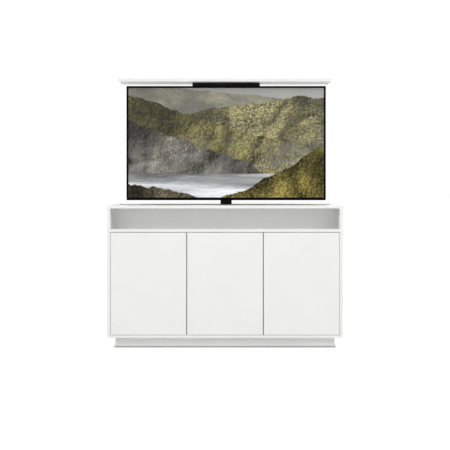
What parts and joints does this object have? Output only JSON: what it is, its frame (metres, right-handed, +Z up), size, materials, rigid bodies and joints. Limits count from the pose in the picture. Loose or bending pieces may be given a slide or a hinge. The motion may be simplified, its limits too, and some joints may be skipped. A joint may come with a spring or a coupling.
{
  "type": "tv lift cabinet",
  "caption": "White handle-less media cabinet with an open niche and push-to-open doors, and a motorised column that raises a flat television and its lid out of the top.",
  "frame": {"origin": "on the floor, under the middle of the cabinet's outline", "axes": "+X along the front to the viewer's right, +Y from the front to the back, +Z up"},
  "size_m": [1.4, 0.45, 1.612],
  "materials": {
    "white_lacquer": "satin white lacquer on fibreboard",
    "plinth_lacquer": "satin white lacquer on fibreboard",
    "back_board": "white faced thin board",
    "raw_board": "bare fibreboard",
    "nylon": "moulded, matt",
    "bright_steel": "zinc plated",
    "latch_plastic": "moulded, matt",
    "black_steel": "black powder coat",
    "cast_gearbox": "cast",
    "motor_steel": "black paint",
    "bronze_nut": "machined",
    "control_plastic": "moulded, matt",
    "tv_black": "fine moulded texture",
    "tv_glass": "anti-glare film over the display"
  },
  "bodies": {
    "cabinet": {"side_panel_left": "white_lacquer", "side_panel_right": "white_lacquer", "top_panel": "white_lacquer", "bottom_panel": "white_lacquer", "niche_shelf": "white_lacquer", "partition_panel": "white_lacquer", "back_panel": "back_board", "cable_grommets": "nylon", "divider_left": "white_lacquer", "divider_right": "white_lacquer", "shelf_left": "white_lacquer", "shelf_middle": "white_lacquer", "shelf_right": "white_lacquer", "shelf_pins": "bright_steel", "plinth_front": "plinth_lacquer", "plinth_back": "plinth_lacquer", "plinth_side_left": "plinth_lacquer", "plinth_side_right": "plinth_lacquer", "plinth_blocks": "raw_board", "plinth_glides": "nylon", "pivot_bushes": "nylon", "latch_bodies": "latch_plastic", "lift_gearbox": "cast_gearbox", "lift_motor": "motor_steel", "lift_base_screws": "black_steel", "outer_tube": "black_steel", "outer_guide_collar": "nylon", "lower_spindle_bearing": "bright_steel", "lift_control_box": "control_plastic"},
    "middle_stage": {"middle_tube": "black_steel", "middle_guide_collar": "nylon", "middle_tube_foot": "nylon", "lower_nut": "bronze_nut", "upper_spindle_bearing": "bright_steel"},
    "carriage": {"inner_tube": "black_steel", "inner_tube_foot": "nylon", "upper_nut": "bronze_nut", "inner_tube_head": "black_steel", "tv_carrier": "black_steel", "mount_plate": "black_steel", "tv_arm_left": "black_steel", "tv_arm_right": "black_steel", "lid_bracket": "black_steel", "bracket_screws": "black_steel", "lid": "white_lacquer", "tv_bezel": "tv_black", "tv_screen": "tv_glass", "tv_rear_cover": "tv_black"},
    "lower_spindle": {"lower_spindle": "bright_steel"},
    "upper_spindle": {"upper_spindle": "bright_steel"},
    "door_left": {"door_left": "white_lacquer", "door_fittings_left": "bright_steel"},
    "plunger_left": {"latch_plunger_left": "latch_plastic"},
    "door_middle": {"door_middle": "white_lacquer", "door_fittings_middle": "bright_steel"},
    "plunger_middle": {"latch_plunger_middle": "latch_plastic"},
    "door_right": {"door_right": "white_lacquer", "door_fittings_right": "bright_steel"},
    "plunger_right": {"latch_plunger_right": "latch_plastic"}
  },
  "joints": [
    {"name": "lift", "type": "slide", "parent": "cabinet", "child": "carriage", "axis": [0, 0, 1], "range_m": [-0.77, 0]},
    {"name": "middle_stage_slide", "type": "slide", "parent": "cabinet", "child": "middle_stage", "axis": [0, 0, 1], "range_m": [-0.385, 0]},
    {"name": "lower_spindle_turn", "type": "hinge", "parent": "cabinet", "child": "lower_spindle", "pos_m": [0.007, 0.141, 0.114], "axis": [0, 0, 1], "range_deg": [-6931, 0]},
    {"name": "upper_spindle_turn", "type": "hinge", "parent": "middle_stage", "child": "upper_spindle", "pos_m": [0.007, 0.141, 0.548], "axis": [0, 0, 1], "range_deg": [-6931, 0]},
    {"name": "door_left_hinge", "type": "hinge", "parent": "cabinet", "child": "door_left", "pos_m": [-0.64747, -0.2155, 0.076], "axis": [0, 0, -1], "range_deg": [0, 105]},
    {"name": "latch_left_push", "type": "slide", "parent": "cabinet", "child": "plunger_left", "axis": [0, 1, 0], "range_m": [0, 0.003], "stiffness_N_per_m": 600},
    {"name": "door_middle_hinge", "type": "hinge", "parent": "cabinet", "child": "door_middle", "pos_m": [-0.19314, -0.2155, 0.076], "axis": [0, 0, -1], "range_deg": [0, 105]},
    {"name": "latch_middle_push", "type": "slide", "parent": "cabinet", "child": "plunger_middle", "axis": [0, 1, 0], "range_m": [0, 0.003], "stiffness_N_per_m": 600},
    {"name": "door_right_hinge", "type": "hinge", "parent": "cabinet", "child": "door_right", "pos_m": [0.64747, -0.2155, 0.076], "axis": [0, 0, 1], "range_deg": [0, 105]},
    {"name": "latch_right_push", "type": "slide", "parent": "cabinet", "child": "plunger_right", "axis": [0, 1, 0], "range_m": [0, 0.003], "stiffness_N_per_m": 600}
  ],
  "couplings": [
    {"joint": "middle_stage_slide", "follows": "lift", "ratio": 0.5},
    {"joint": "lower_spindle_turn", "follows": "lift", "rad_per_m": 157.08},
    {"joint": "upper_spindle_turn", "follows": "lift", "rad_per_m": 157.08}
  ]
}
